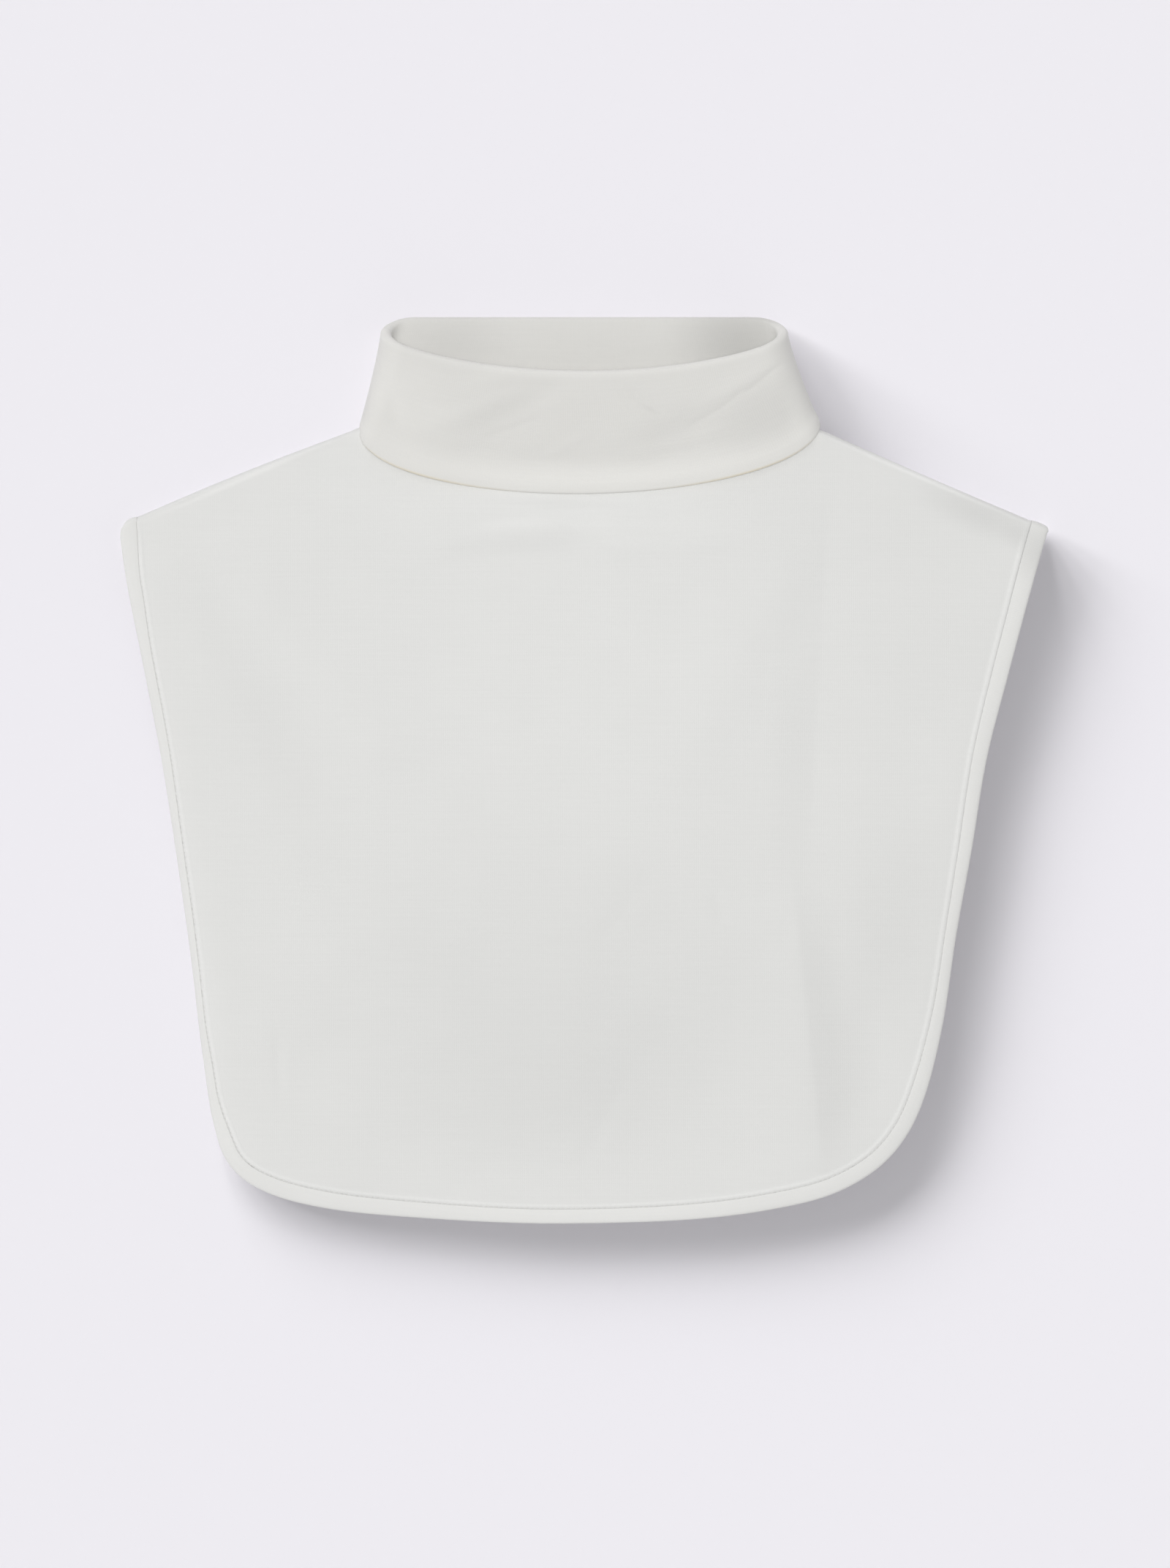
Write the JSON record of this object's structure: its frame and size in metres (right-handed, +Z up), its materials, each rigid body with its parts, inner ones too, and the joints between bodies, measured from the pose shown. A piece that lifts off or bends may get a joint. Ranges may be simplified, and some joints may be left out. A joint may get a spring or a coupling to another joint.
{
  "type": "turtleneck dickey",
  "caption": "Soft jersey dickey lying flat: front and back panels joined at the shoulders, a bound edge round both and a turned-down tube collar.",
  "frame": {"origin": "on the surface that the dickey lies on, under the middle of its whole outline", "axes": "+X to the right across the shoulders, +Y from the hem towards the collar, +Z up out of the front"},
  "size_m": [0.3952, 0.385, 0.022],
  "materials": {
    "panel_jersey": "matte fine white cotton jersey",
    "collar_jersey": "matte doubled off-white cotton jersey",
    "binding_jersey": "matte folded white jersey, stitched in the seam"
  },
  "bodies": {
    "root": {"front_panel": "panel_jersey", "back_panel": "panel_jersey", "collar": "collar_jersey", "edge_binding": "binding_jersey"}
  },
  "joints": []
}
